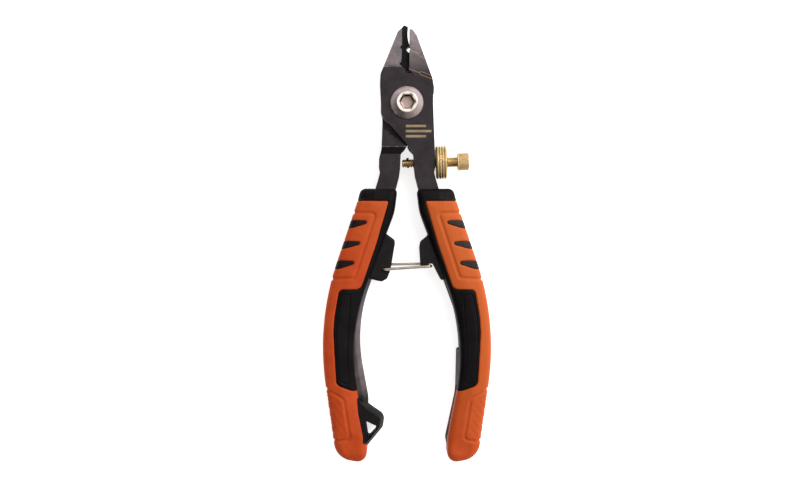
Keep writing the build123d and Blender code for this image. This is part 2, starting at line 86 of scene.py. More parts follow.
# Pale room, brighter on the right and at the top
BRIGHT_SIDE = (0.80, 0.50, 0.33)
SHADE_TO_LIGHT = (-0.85, 0.85)
ROOM_STRENGTH = (0.03, 1.0)
ROOM_COLOUR = (1.0, 0.97, 0.96, 1)
world = bpy.data.worlds.new("studio")
world.use_nodes = True
room = world.node_tree
direction = room.nodes.new("ShaderNodeTexCoord")
towards_light = room.nodes.new("ShaderNodeVectorMath")
towards_light.operation = "DOT_PRODUCT"
towards_light.inputs[1].default_value = BRIGHT_SIDE
brightness = room.nodes.new("ShaderNodeMapRange")
brightness.inputs["From Min"].default_value = SHADE_TO_LIGHT[0]
brightness.inputs["From Max"].default_value = SHADE_TO_LIGHT[1]
brightness.inputs["To Min"].default_value = ROOM_STRENGTH[0]
brightness.inputs["To Max"].default_value = ROOM_STRENGTH[1]
room.links.new(direction.outputs["Generated"], towards_light.inputs[0])
room.links.new(towards_light.outputs["Value"], brightness.inputs["Value"])
room.links.new(brightness.outputs["Result"], room.nodes["Background"].inputs["Strength"])
room.nodes["Background"].inputs["Color"].default_value = ROOM_COLOUR
scene.world = world


# Materials
class Nodes:
    """Short names for building one material's node tree."""

    def __init__(self, name):
        self.material = bpy.data.materials.new(name)
        self.material.use_nodes = True
        self.tree = self.material.node_tree
        self.shader = self.tree.nodes["Principled BSDF"]
        self.coords = self.add("ShaderNodeTexCoord").outputs["Object"]

    def add(self, kind, **values):
        node = self.tree.nodes.new(kind)
        for key, value in values.items():
            setattr(node, key, value)
        return node

    def link(self, source, target):
        self.tree.links.new(source, target)

    def noise(self, scale, detail=4.0, roughness=0.55, coords=None):
        node = self.add("ShaderNodeTexNoise")
        node.inputs["Scale"].default_value = scale
        node.inputs["Detail"].default_value = detail
        node.inputs["Roughness"].default_value = roughness
        self.link(coords or self.coords, node.inputs["Vector"])
        return node.outputs["Fac"]

    def stretched(self, scale):
        node = self.add("ShaderNodeMapping")
        node.inputs["Scale"].default_value = scale
        self.link(self.coords, node.inputs["Vector"])
        return node.outputs["Vector"]

    def ramp(self, source, low, high, from_value, to_value):
        node = self.add("ShaderNodeMapRange")
        node.inputs["From Min"].default_value = low
        node.inputs["From Max"].default_value = high
        node.inputs["To Min"].default_value = from_value
        node.inputs["To Max"].default_value = to_value
        self.link(source, node.inputs["Value"])
        return node.outputs["Result"]

    def mix(self, factor, first, second):
        node = self.add("ShaderNodeMix", data_type="RGBA")
        self.link(factor, node.inputs[0])
        for value, socket in ((first, node.inputs[6]), (second, node.inputs[7])):
            if isinstance(value, tuple):
                socket.default_value = (*value, 1)
            else:
                self.link(value, socket)
        return node.outputs[2]

    def maths(self, operation, first, second=0):
        node = self.add("ShaderNodeMath", operation=operation)
        for value, socket in ((first, node.inputs[0]), (second, node.inputs[1])):
            if isinstance(value, (int, float)):
                socket.default_value = value
            else:
                self.link(value, socket)
        return node.outputs[0]

    def axis(self, name):
        node = self.add("ShaderNodeSeparateXYZ")
        self.link(self.coords, node.inputs[0])
        return node.outputs[name]

    def between(self, source, low, high, soft):
        """One between two values and zero outside them."""
        rising = self.ramp(source, low - soft, low, 0, 1)
        falling = self.ramp(source, high, high + soft, 1, 0)
        return self.maths("MULTIPLY", rising, falling)

    def patches(self, scale, low=0.35, high=0.65, **noise):
        """Noise as soft-edged patches, from 0 to 1."""
        return self.ramp(self.noise(scale, **noise), low, high, 0, 1)

    def uneven(self, source, middle, spread):
        """Noise as values to either side of a middle one."""
        return self.ramp(source, 0.3, 0.7, middle - spread, middle + spread)

    def bump(self, height, distance):
        node = self.add("ShaderNodeBump")
        node.inputs["Distance"].default_value = distance
        node.inputs["Strength"].default_value = 1.0
        self.link(height, node.inputs["Height"])
        self.link(node.outputs["Normal"], self.shader.inputs["Normal"])

    def set(self, **values):
        for key, value in values.items():
            self.shader.inputs[key.replace("_", " ")].default_value = value


# Noise scales are in waves per metre, and bump depths in metres
MOTTLES = 140.0
WEAR = 420.0
MOULD_GRAIN = 2500.0
GRAIN_DEPTH = 0.00002
PLASTIC_WEAR_SPREAD = 0.06


def plastic(name, dark, light, roughness, gloss, grain=MOULD_GRAIN):
    """Moulded rubber or plastic: mottled colour, a fine moulded grain and worn, uneven gloss."""
    m = Nodes(name)
    m.link(m.mix(m.patches(MOTTLES), dark, light), m.shader.inputs["Base Color"])
    m.link(m.uneven(m.noise(WEAR), roughness, PLASTIC_WEAR_SPREAD), m.shader.inputs["Roughness"])
    m.bump(m.noise(grain, detail=2.0), GRAIN_DEPTH)
    m.set(Specular_IOR_Level=gloss)
    return m.material


# Along the handles, in metres
EYE_TOP = -0.110
TABS_END = -0.068


def strip_plastic(name):
    """Hard black plastic, with a painted reflection: lighter along the strips below the tabs, except on the
    lanyard eye.
    """
    m = Nodes(name)
    black = m.mix(m.patches(300.0), (0.0050, 0.0038, 0.0040), (0.0100, 0.0078, 0.0082))
    # Painted reflection: the strips' colour stands in for the bright floor that their steep inner walls
    # reflect
    painted_reflection_grey = m.mix(m.patches(240.0, detail=6.0), (0.068, 0.052, 0.054), (0.125, 0.099, 0.102))
    above_eye = m.ramp(m.axis("Y"), EYE_TOP, EYE_TOP + 0.006, 0, 1)
    hook_side = m.ramp(m.axis("X"), 0, 0.001, 0, 1)
    below_tabs = m.ramp(m.axis("Y"), TABS_END, TABS_END - 0.012, 0, 1)
    strips = m.maths("MULTIPLY", below_tabs, m.maths("MAXIMUM", above_eye, hook_side))
    m.link(m.mix(strips, black, painted_reflection_grey), m.shader.inputs["Base Color"])
    roughness = m.uneven(m.noise(WEAR), 0.44, PLASTIC_WEAR_SPREAD)
    dull_eye = m.ramp(m.axis("Y"), EYE_TOP + 0.004, EYE_TOP - 0.001, 0, 0.30)
    m.link(m.maths("ADD", roughness, dull_eye), m.shader.inputs["Roughness"])
    m.bump(m.noise(2200.0, detail=2.0), GRAIN_DEPTH)
    m.set(Specular_IOR_Level=0.16)
    return m.material


PAINTED_LIGHT_SLANT = 2.2  # how much faster the painted light grows to the right than towards the jaws
PAINTED_LIGHT_RANGE = (-0.105, -0.015)
PAINTED_LIGHT_WANDER = 0.01


def orange_with_painted_light(name, dark, light, pale):
    """Orange rubber with painted light: paler and yellower towards the right and the jaws, where the key
    light falls.
    """
    m = Nodes(name)
    mottled = m.mix(m.patches(MOTTLES), dark, light)
    along = m.maths("ADD", m.maths("MULTIPLY", m.axis("X"), PAINTED_LIGHT_SLANT), m.axis("Y"))
    along = m.maths("ADD", along, m.ramp(m.noise(60.0), 0, 1, -PAINTED_LIGHT_WANDER, PAINTED_LIGHT_WANDER))
    m.link(m.mix(m.ramp(along, *PAINTED_LIGHT_RANGE, 0, 0.9), mottled, pale), m.shader.inputs["Base Color"])
    m.link(m.uneven(m.noise(WEAR), 0.54, PLASTIC_WEAR_SPREAD), m.shader.inputs["Roughness"])
    m.bump(m.noise(MOULD_GRAIN, detail=2.0), GRAIN_DEPTH)
    m.set(Specular_IOR_Level=0.2)
    return m.material


METAL_WEAR_SPREAD = 0.08


def brushed_metal(name, dark, light, roughness, brushing, depth=0.000008):
    """Machined metal: fine directional marks, stains and uneven gloss."""
    m = Nodes(name)
    marks = m.noise(1.0, detail=3.0, coords=m.stretched(brushing))
    m.link(m.mix(m.patches(260.0, high=0.7), dark, light), m.shader.inputs["Base Color"])
    m.link(m.uneven(marks, roughness, METAL_WEAR_SPREAD), m.shader.inputs["Roughness"])
    m.bump(marks, depth)
    m.set(Metallic=1.0)
    return m.material


# The sloping edge of each lever's shoulder is this line or its mirror image
SHOULDER_EDGE_LOW = Vector((0.0001, -0.0160))
SHOULDER_EDGE_HIGH = Vector((0.00995, -0.0083))
SHOULDER_EDGE = SHOULDER_EDGE_HIGH - SHOULDER_EDGE_LOW
SHOULDER_EDGE_NORMAL = Vector((SHOULDER_EDGE.y, -SHOULDER_EDGE.x)).normalized()
SHOULDER_EDGE_OFFSET = SHOULDER_EDGE_NORMAL.dot(SHOULDER_EDGE_LOW)
SHARP = 0.0001  # width over which a painted edge fades
NEAR_FACE = 0.0028  # depth of the raised faces from the joint face
RECESS_DEPTH = (0.0019, 0.0027)  # jaw faces nearer the joint face than this are in its recess
RECESS_START = (0.0105, 0.0112)
NECK_RAMP = (-0.0189, -0.0165)
NECK_LINE = (-0.01645, -0.0162)
JAW_LINE = (0.0133, 0.0136)
BAND_RAGGEDNESS = 0.0011
# Near black: the jaw recess's colour, and the painted shade and shadow on the neck's ramp and beside the
# shoulder's edge
BLACK_OXIDE_AND_SHADE = (0.0045, 0.0035, 0.0042)
# Colour of the painted highlight lines on the step edges
PAINTED_HIGHLIGHT = (0.30, 0.27, 0.27)


def blackened(name, grinding_sheen_from, grinding_sheen_to, grinding_sheen_dark, grinding_sheen_light, neck_side):
    """Black-oxide steel: blotchy brown-black, near black in the jaw's recess, with painted shade on the
    neck's ramp, a painted shadow beside the shoulder's edge, painted highlight lines on the step edges, and
    jaw faces paler from grinding and painted paler still as reflection.

    neck_side is 1 where the lever's neck has its ramp on the front, and -1 where it's on the back.
    """
    m = Nodes(name)
    x, y, z = (m.axis(letter) for letter in "XYZ")
    above = m.maths("MULTIPLY", m.maths("SUBTRACT", z, MID_Z * MM), neck_side)
    depth = m.maths("ABSOLUTE", above)
    neck_face = m.ramp(above, NEAR_FACE, NEAR_FACE + SHARP, 0, 1)
    jaw_face = m.ramp(above, -NEAR_FACE, -NEAR_FACE - SHARP, 0, 1)

    # Blotchy oxide, and paler steel on the jaw faces from grinding, painted paler still as a reflection from
    # the tilted faces
    blotches = m.patches(190.0, high=0.7, detail=6.0, roughness=0.65)
    oxide = m.mix(blotches, (0.021, 0.0155, 0.0185), (0.038, 0.0300, 0.0345))
    wander = m.ramp(m.noise(160.0), 0, 1, -0.0009, 0.0009)
    grinding_and_sheen = m.ramp(m.maths("ADD", y, wander), grinding_sheen_from, grinding_sheen_to, 0, 1)
    grinding_and_sheen = m.maths("MULTIPLY", grinding_and_sheen, m.ramp(depth, *RECESS_DEPTH, 0, 1))
    stains = m.patches(330.0, 0.32, 0.68, detail=6.0, roughness=0.7)
    colour = m.mix(grinding_and_sheen, oxide, m.mix(stains, grinding_sheen_dark, grinding_sheen_light))

    # Black in the jaw's recess, painted shade on the neck's ramp, and a painted shadow band in the gap beside
    # the shoulder's edge
    past_start = m.ramp(y, *RECESS_START, 0, 1)
    jaw_recess = m.maths("MULTIPLY", past_start, m.ramp(depth, *reversed(RECESS_DEPTH), 0, 1))
    # Painted shade: the neck's ramp faces away from the light, so it is coloured black
    neck_ramp = m.maths("MULTIPLY", m.between(y, *NECK_RAMP, SHARP), neck_face)
    # Painted shadow: a ragged black band in the gap along the shoulder's edge, which the bump below also
    # sinks and roughens
    across = m.maths("MULTIPLY", m.maths("ABSOLUTE", x), SHOULDER_EDGE_NORMAL.x)
    away = m.maths("ADD", across, m.maths("MULTIPLY", y, SHOULDER_EDGE_NORMAL.y))
    away = m.maths("SUBTRACT", away, SHOULDER_EDGE_OFFSET)
    roughening = m.ramp(m.noise(700.0, detail=3.0), 0.35, 0.65, -BAND_RAGGEDNESS, BAND_RAGGEDNESS)
    ragged_end = m.ramp(m.maths("ADD", away, roughening), 0.0004, 0.0006, 1, 0)
    rough_shadow_band = m.maths("MULTIPLY", m.ramp(away, -0.0004, -0.0002, 0, 1), ragged_end)
    rough_shadow_band = m.maths("MULTIPLY", rough_shadow_band, neck_face)
    dark = m.maths("MAXIMUM", m.maths("MAXIMUM", jaw_recess, neck_ramp), rough_shadow_band)
    colour = m.mix(dark, colour, BLACK_OXIDE_AND_SHADE)

    # Painted highlights: bright, broken lines along the neck's and the jaw's step edges, where these edges
    # catch the light
    neck_line = m.maths("MULTIPLY", m.between(y, *NECK_LINE, SHARP / 2), neck_face)
    jaw_line = m.maths("MULTIPLY", m.between(y, *JAW_LINE, SHARP / 2), jaw_face)
    broken = m.ramp(m.noise(520.0), 0.42, 0.58, 0.15, 0.75)
    painted_highlight = m.maths("MULTIPLY", m.maths("MAXIMUM", neck_line, jaw_line), broken)
    m.link(m.mix(painted_highlight, colour, PAINTED_HIGHLIGHT), m.shader.inputs["Base Color"])

    marks = m.noise(1.0, detail=4.0, coords=m.stretched((2200.0, 900.0, 900.0)))
    m.link(m.uneven(marks, 0.48, METAL_WEAR_SPREAD), m.shader.inputs["Roughness"])
    fine = m.noise(3200.0, detail=3.0)
    relief = m.maths("ADD", fine, m.maths("MULTIPLY", marks, 0.6))
    m.bump(m.maths("SUBTRACT", relief, m.maths("MULTIPLY", rough_shadow_band, 6.0)), 0.000012)
    m.set(Metallic=0.5, Specular_IOR_Level=0.35)
    return m.material


# The pivot bolt's head, with its hexagon socket and the turned land round it
HEAD_SEAT = 11.0
HEAD_TOP = 13.5
SOCKET_FLOOR = 11.5
SOCKET_RADIUS = 2.62  # inside this, sections are hexagons
SOCKET_MOUTH = 2.70
LAND_RADIUS = 3.66


def bolt_metal(name):
    """Nickelled steel, paler on the turned land round the socket, with painted shade on the socket's walls
    and brown on its floor.
    """
    m = Nodes(name)
    x, y, z = (m.axis(letter) for letter in "XYZ")
    squares = m.maths("ADD", m.maths("MULTIPLY", x, x), m.maths("MULTIPLY", y, y))
    radius = m.maths("SQRT", squares)
    colour = m.mix(m.patches(300.0, high=0.7), (0.44, 0.36, 0.36), (0.56, 0.48, 0.47))
    near_top = m.ramp(z, (HEAD_TOP - 0.12) * MM, (HEAD_TOP - 0.06) * MM, 0, 1)
    ring = m.between(radius, (SOCKET_MOUTH + 0.04) * MM, (LAND_RADIUS + 0.06) * MM, 0.00006)
    land = m.maths("MULTIPLY", ring, near_top)
    in_socket = m.ramp(radius, (SOCKET_MOUTH + 0.04) * MM, (SOCKET_MOUTH - 0.04) * MM, 0, 1)
    above_floor = m.ramp(z, (SOCKET_FLOOR + 0.1) * MM, (SOCKET_FLOOR + 0.3) * MM, 0, 1)
    on_floor = m.maths("SUBTRACT", 1, above_floor)
    colour = m.mix(land, colour, (0.86, 0.79, 0.70))
    # Painted shade: the socket's walls are coloured dark brown-black for the shade inside the socket
    colour = m.mix(m.maths("MULTIPLY", in_socket, above_floor), colour, (0.10, 0.055, 0.035))
    colour = m.mix(m.maths("MULTIPLY", in_socket, on_floor), colour, (0.46, 0.35, 0.31))
    m.link(colour, m.shader.inputs["Base Color"])
    roughness = m.uneven(m.noise(900.0), 0.295, 0.035)
    duller = m.maths("MULTIPLY", m.maths("MAXIMUM", land, in_socket), 0.25)
    m.link(m.maths("ADD", roughness, duller), m.shader.inputs["Roughness"])
    m.bump(m.noise(2600.0), 0.000001)
    m.set(Metallic=1.0)
    return m.material


# Jaw colours: steel paler from grinding, raised further as painted reflection; the rear lever's are paler
# still
front_steel = blackened(
    "front_lever_steel", 0.0130, 0.0142, (0.125, 0.104, 0.110), (0.225, 0.194, 0.202), neck_side=-1
)
rear_steel = blackened(
    "rear_lever_steel", 0.0105, 0.0265, (0.215, 0.182, 0.190), (0.345, 0.300, 0.310), neck_side=1
)
bolt_steel = bolt_metal("bolt_steel")
# The orange rubber carries painted light, paler towards the upper right
orange_rubber = orange_with_painted_light("orange_rubber", (0.47, 0.053, 0.0065), (0.54, 0.068, 0.0095), (0.56, 0.108, 0.0170))
core_black = plastic("core_black", (0.0036, 0.0026, 0.0030), (0.0070, 0.0054, 0.0062), 0.46, 0.08)
panel_black = plastic("panel_black", (0.0038, 0.0027, 0.0032), (0.0075, 0.0058, 0.0068), 0.50, 0.09, 1700.0)
# Painted light: a lighter, lit copy of the inlay plastic for the right grip and a darker, shaded copy for the
# left grip
inlay_lit_copy = plastic("inlay_lit_copy", (0.0120, 0.0085, 0.0100), (0.0240, 0.0180, 0.0205), 0.46, 0.20)
inlay_shaded_copy = plastic("inlay_shaded_copy", (0.0060, 0.0040, 0.0048), (0.0120, 0.0085, 0.0100), 0.46, 0.14)
spine_black = strip_plastic("spine_black")

# Brushing is finest along the axes with the highest scale
LENGTHWAYS = (400.0, 2600.0, 2600.0)
DRAWN = (300.0, 3000.0, 3000.0)
ROUND_THE_COIL = (2500.0, 2500.0, 800.0)
FINE_ALL_ROUND = (2500.0, 2500.0, 2500.0)
COARSE_ALL_ROUND = (900.0, 900.0, 900.0)
brass = brushed_metal("brass", (0.50, 0.360, 0.165), (0.66, 0.490, 0.250), 0.33, LENGTHWAYS)
bright_steel = brushed_metal(
    "bright_steel", (0.50, 0.44, 0.41), (0.58, 0.52, 0.48), 0.24, COARSE_ALL_ROUND, depth=0.000002
)
bail_wire = brushed_metal("bail_wire", (0.42, 0.37, 0.32), (0.58, 0.52, 0.45), 0.28, DRAWN)
spring_steel = brushed_metal("spring_steel", (0.30, 0.29, 0.28), (0.45, 0.43, 0.41), 0.32, ROUND_THE_COIL)
etched_gold = brushed_metal("etched_gold", (0.25, 0.19, 0.115), (0.35, 0.27, 0.17), 0.5, FINE_ALL_ROUND)


def dress(obj, material):
    obj.data.materials.clear()
    obj.data.materials.append(material)


WELD_DISTANCE = 0.000002
SHARP_ANGLE = math.radians(32)
STEEL_EDGE = 0.16
SPINE_EDGE = 0.45


# The levers and spines keep their CAD meshes, with softened edges
def soften(node, width):
    obj = nodes[node]
    weld = obj.modifiers.new("weld", "WELD")
    weld.merge_threshold = WELD_DISTANCE
    bevel = obj.modifiers.new("bevel", "BEVEL")
    bevel.width = width * MM
    bevel.segments = 2
    bevel.limit_method = "ANGLE"
    bevel.angle_limit = SHARP_ANGLE
    bevel.harden_normals = True


for name, material, edge in (
    ("front_lever", front_steel, STEEL_EDGE),
    ("rear_lever", rear_steel, STEEL_EDGE),
    ("left_spine", spine_black, SPINE_EDGE),
    ("right_spine", spine_black, SPINE_EDGE),
):
    dress(nodes[name], material)
    soften(name, edge)

# The other small steel pieces keep theirs as they are
dress(nodes["pivot_nut"], bright_steel)
dress(nodes["torsion_spring"], spring_steel)
dress(nodes["bail"], bail_wire)
dress(nodes["stop_screw_pin"], front_steel)


# Plane geometry in millimetres
def segment_distance(points, path):
    """Distance from each point to a polyline."""
    best = np.full(len(points), np.inf)
    for a, b in zip(path[:-1], path[1:]):
        a, b = np.array(a, float), np.array(b, float)
        along = b - a
        t = np.clip(((points - a) @ along) / (along @ along), 0, 1)
        best = np.minimum(best, np.linalg.norm(points - a - t[:, None] * along, axis=1))
    return best


ARC_STEP = 1.0


def rounded(corners):
    """Closed outline from (x, y, radius) corners, as points."""
    outline = []
    count = len(corners)
    for i in range(count):
        before, here, after = (np.array(corners[(i + k) % count][:2], float) for k in (-1, 0, 1))
        radius = corners[i][2]
        to_before = (before - here) / np.linalg.norm(before - here)
        to_after = (after - here) / np.linalg.norm(after - here)
        half = math.acos(np.clip(to_before @ to_after, -1, 1)) / 2
        if radius == 0:
            outline.append(here)
            continue
        tangent = radius / math.tan(half)
        middle = to_before + to_after
        arc_centre = here + middle / np.linalg.norm(middle) * radius / math.sin(half)
        start = here + to_before * tangent - arc_centre
        sweep = math.pi - 2 * half
        turn = np.sign(start[0] * to_after[1] - start[1] * to_after[0])
        pieces = max(3, int(radius * sweep / ARC_STEP))
        for k in range(pieces + 1):
            a = turn * sweep * k / pieces
            rotated = (
                start[0] * math.cos(a) - start[1] * math.sin(a),
                start[0] * math.sin(a) + start[1] * math.cos(a),
            )
            outline.append(arc_centre + rotated)
    outline.append(outline[0])
    return outline


def smoothstep(x, low, high):
    t = np.clip((x - low) / (high - low), 0, 1)
    return t * t * (3 - 2 * t)


# Grips: each CAD piece is remeshed finely, then crowned, grooved and textured by the same functions
GRIP_OUTLINE = rounded(
    [
        (3.6, -32.2, 1.2),
        (17.2, -31.8, 2.5),
        (18.35, -36.5, 6),
        (33.55, -81.5, 98),
        (26.3, -131.8, 7.2),
        (14.8, -133.8, 3.4),
        (15.0, -124.0, 8),
        (22.3, -87.7, 74),
        (4.6, -40.5, 20),
    ]
)
RIB_GROOVE = [
    (34.0, -40.6),
    (13.0, -41.1),
    (12.1, -41.5),
    (11.9, -42.3),
    (19.1, -64.2),
    (19.8, -65.1),
    (34.0, -65.6),
]
PAD_GROOVE = [
    (34.0, -104.0),
    (24.2, -109.2),
    (23.3, -110.3),
    (21.15, -123.6),
    (21.8, -124.6),
    (25.2, -125.3),
    (34.0, -124.6),
]
GROOVE_HALF_WIDTH = 0.70
GROOVE_DEPTH = 0.38
FACES_UP = 0.4
FACES_OUT = 0.3
LATTICE_DIRECTION = (0.80, 0.60)
LATTICE_PITCH = 2.1
LATTICE_LINE = (0.05, 0.2)
LATTICE_MARGIN = (0.8, 1.6)
LATTICE_DEPTH = 0.13
CROWN_WIDTH = 6.5
CROWN_DROP = 0.11
COLLAR_FACET = [(11.5, -32.0), (12.3, -36.6)]
COLLAR_SLOPE = 0.24
COLLAR_FADE = (-36.9, -35.6)
PANEL_OVERLAP = 0.20
PANEL_LIFT = 0.02
MOULD_VOXEL = 0.36
INLAY_VOXEL = 0.25
PANEL_VOXEL = 0.18


def remeshed(node, name, voxel, smoothing):
    """A new piece that starts as a fine, even mesh of a CAD node's shape."""
    mesh = nodes[node].data.copy()
    work = bmesh.new()
    work.from_mesh(mesh)
    bmesh.ops.remove_doubles(work, verts=work.verts, dist=WELD_DISTANCE)
    work.to_mesh(mesh)
    work.free()
    obj = placed(name, mesh)
    remesh = obj.modifiers.new("remesh", "REMESH")
    remesh.mode = "VOXEL"
    remesh.voxel_size = voxel * MM
    smooth = obj.modifiers.new("smooth", "SMOOTH")
    smooth.factor = 0.5
    smooth.iterations = smoothing
    bpy.context.view_layer.update()
    graph = bpy.context.evaluated_depsgraph_get()
    fine = bpy.data.meshes.new_from_object(obj.evaluated_get(graph))
    fine.name = name
    obj.modifiers.clear()
    obj.data = fine
    return obj


def read_points(mesh):
    flat = np.zeros(len(mesh.vertices) * 3)
    mesh.vertices.foreach_get("co", flat)
    return flat.reshape(-1, 3) / MM


def read_normals(mesh):
    flat = np.zeros(len(mesh.vertices) * 3)
    mesh.vertex_normals.foreach_get("vector", flat)
    return flat.reshape(-1, 3)


def write_points(mesh, points):
    mesh.vertices.foreach_set("co", (points * MM).ravel())
    mesh.update()
    mesh.shade_smooth()


def inside(points, outline):
    """True where a point is inside a closed outline."""
    result = np.zeros(len(points), bool)
    x, y = points[:, 0], points[:, 1]
    for (ax, ay), (bx, by) in zip(outline[:-1], outline[1:]):
        crosses = (ay > y) != (by > y)
        with np.errstate(divide="ignore", invalid="ignore"):
            at = ax + (y - ay) * (bx - ax) / (by - ay)
        result ^= crosses & (x < at)
    return result


def pressed_in(plan, outward):
    """How far the grooves and the end pad's lattice sink into the orange rubber."""
    groove = np.zeros(len(plan))
    for path in (RIB_GROOVE, PAD_GROOVE):
        away = segment_distance(plan, path)
        groove = np.maximum(groove, 1 - smoothstep(away, GROOVE_HALF_WIDTH * 0.5, GROOVE_HALF_WIDTH))
    on_pad = inside(plan, PAD_GROOVE + PAD_GROOVE[:1])
    on_pad = on_pad * smoothstep(segment_distance(plan, PAD_GROOVE), *LATTICE_MARGIN)
    lattice = np.zeros(len(plan))
    for lean in (1, -1):
        across = plan @ (LATTICE_DIRECTION[0], LATTICE_DIRECTION[1] * lean)
        from_line = np.abs((across / LATTICE_PITCH) % 1 - 0.5)
        lattice = np.maximum(lattice, 1 - smoothstep(from_line, *LATTICE_LINE))
    return (groove * GROOVE_DEPTH + lattice * on_pad * LATTICE_DEPTH) * outward


def collar_drop(plan):
    """How far the collar's face slopes down on the outer side of its facet line."""
    start, end = (np.array(p) for p in COLLAR_FACET)
    along = (end - start) / np.linalg.norm(end - start)
    beyond = (plan[:, 0] - start[0]) * -along[1] + (plan[:, 1] - start[1]) * along[0]
    return COLLAR_SLOPE * np.clip(beyond, 0, None) * smoothstep(plan[:, 1], *COLLAR_FADE)


def shape_grip(obj, side, part):
    """Groove, spread and crown a remeshed piece of either grip."""
    mesh = obj.data
    points = read_points(mesh)
    normals = read_normals(mesh)
    points[:, 0] *= side
    normals[:, 0] *= side
    plan = points[:, :2].copy()
    if part == "grip_cover":
        outward = np.maximum(np.abs(normals[:, 2]) > FACES_UP, normals[:, 0] > FACES_OUT)
        points -= normals * pressed_in(plan, outward)[:, None]
    if part == "palm_panels":
        points[:, :2] += normals[:, :2] * PANEL_OVERLAP
        points[:, 2] += np.sign(points[:, 2] - MID_Z) * PANEL_LIFT
    from_edge = segment_distance(plan, GRIP_OUTLINE)
    crown = 1 - CROWN_DROP * (1 - smoothstep(from_edge, 0, CROWN_WIDTH))
    height = points[:, 2] - MID_Z
    if part == "grip_core":
        height -= np.sign(height) * collar_drop(plan) * (np.abs(height) / MID_Z)
    points[:, 2] = MID_Z + height * crown
    points[:, 0] *= side
    write_points(mesh, points)


# Painted light: the right grip's inlays take the lit copy and the left grip's the shaded copy
for side_name, side, body, inlay_look in (
    ("left", -1, "rear_half", inlay_shaded_copy),
    ("right", 1, "front_half", inlay_lit_copy),
):
    for part, material, slot, voxel, smoothing in (
        ("grip_cover", orange_rubber, "orange_rubber", MOULD_VOXEL, 2),
        ("grip_core", core_black, "black_plastic", MOULD_VOXEL, 2),
        ("grip_inlays", inlay_look, "black_rubber", INLAY_VOXEL, 2),
        ("palm_panels", panel_black, "black_rubber", PANEL_VOXEL, 1),
    ):
        node = f"{side_name}_{part}"
        piece = remeshed(node, f"{node}_detailed", voxel, smoothing)
        shape_grip(piece, side, part)
        dress(piece, material)
        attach(piece, body)
        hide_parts(node)


# Turned pieces: surfaces of revolution about an axis, with threads, knurls and a hexagon socket
SCREW_TIP = np.array((-1.8, -22.3, MID_Z))
SCREW_RUN = np.array((25.0, 0.75, 0))
SCREW_AXIS = SCREW_RUN / np.linalg.norm(SCREW_RUN)
SCREW_SIDE = np.array((-SCREW_AXIS[1], SCREW_AXIS[0], 0))
UP = np.array((0, 0, 1.0))
SCREW_FRAME = (SCREW_TIP, SCREW_AXIS, SCREW_SIDE, UP)
PIVOT_FRAME = (np.zeros(3), UP, np.array((1.0, 0, 0)), np.array((0, 1.0, 0)))
RING_MERGE_DISTANCE = 0.0000005
RELIEF_STEP = 0.07  # spacing of the rings that carry a thread or a knurl


def tri(x):
    """Triangle wave from 0 to 1, with a period of 1."""
    return np.abs((x % 1) * 2 - 1)


def knurl(angles, count, along):
    """Depth of a diamond knurl, from 0 on its ridges to 2 in its valleys."""
    turn = angles / (2 * math.pi) * count
    return 2 - tri(turn + along) - tri(turn - along)


def turned(name, frame_axes, stations, around, radius_of):
    """Closed mesh of revolution. Its first and last stations are on the axis or meet each other."""
    origin, axis, side, other = frame_axes
    angles = np.arange(around) / around * 2 * math.pi
    directions = np.cos(angles)[:, None] * side + np.sin(angles)[:, None] * other
    rings = [origin + axis * s + radius_of(s, r, angles)[:, None] * directions for s, r in stations]
    faces = []
    for i in range(len(stations) - 1):
        for j in range(around):
            k = (j + 1) % around
            faces.append((i * around + j, (i + 1) * around + j, (i + 1) * around + k, i * around + k))
    mesh = bpy.data.meshes.new(name)
    mesh.from_pydata((np.concatenate(rings) * MM).tolist(), [], faces)
    work = bmesh.new()
    work.from_mesh(mesh)
    bmesh.ops.remove_doubles(work, verts=work.verts, dist=RING_MERGE_DISTANCE)
    bmesh.ops.recalc_face_normals(work, faces=work.faces)
    work.to_mesh(mesh)
    work.free()
    mesh.shade_smooth()
    return placed(name, mesh)


def dense(profile):
    """Profile of (axial, radius) points with extra points along its runs."""
    result = [profile[0]]
    for (a, p), (b, q) in zip(profile[:-1], profile[1:]):
        pieces = max(1, math.ceil(math.hypot(b - a, q - p) / RELIEF_STEP))
        result += [(a + (b - a) * k / pieces, p + (q - p) * k / pieces) for k in range(1, pieces + 1)]
    return result


def head_radius(s, r, angles):
    radii = np.full(len(angles), float(r))
    if s > SOCKET_FLOOR and r < SOCKET_RADIUS:
        from_flat = ((angles / (math.pi / 3)) % 1 - 0.5) * math.pi / 3
        radii /= np.cos(from_flat)
    return radii


head_profile = [
    (4.5, 0.0),
    (4.5, 2.5),
    (HEAD_SEAT, 2.5),
    (HEAD_SEAT, 5.95),
    (11.08, 6.07),
    (11.4, 6.1),
    (11.5, 6.06),
    (11.6, 5.96),
    (12.4, 5.10),
    (13.3, 4.12),
    (13.42, 3.96),
    (13.48, 3.84),
    (HEAD_TOP, LAND_RADIUS),
    (HEAD_TOP, SOCKET_MOUTH),
    (13.44, 2.55),
    (13.25, 2.50),
    (11.7, 2.20),
    (11.58, 2.05),
    (11.56, 1.4),
    (11.50, 0.0),
]
bolt = turned("pivot_bolt_detailed", PIVOT_FRAME, head_profile, 192, head_radius)
dress(bolt, bolt_steel)
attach(bolt, "front_half")
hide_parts("pivot_bolt")

THREAD_START = 0.4
THREAD_END = 16.5
THREAD_RADIUS = 1.66
THREAD_PITCH = 0.75
THREAD_DEPTH = 0.42
THUMB_START = 20.75
THUMB_END = 24.85
THUMB_RADIUS = 3.33
THUMB_KNURLS = 30
THUMB_KNURL_PITCH = 0.75
THUMB_KNURL_DEPTH = 0.16
THUMB_KNURL_FADE = 0.3


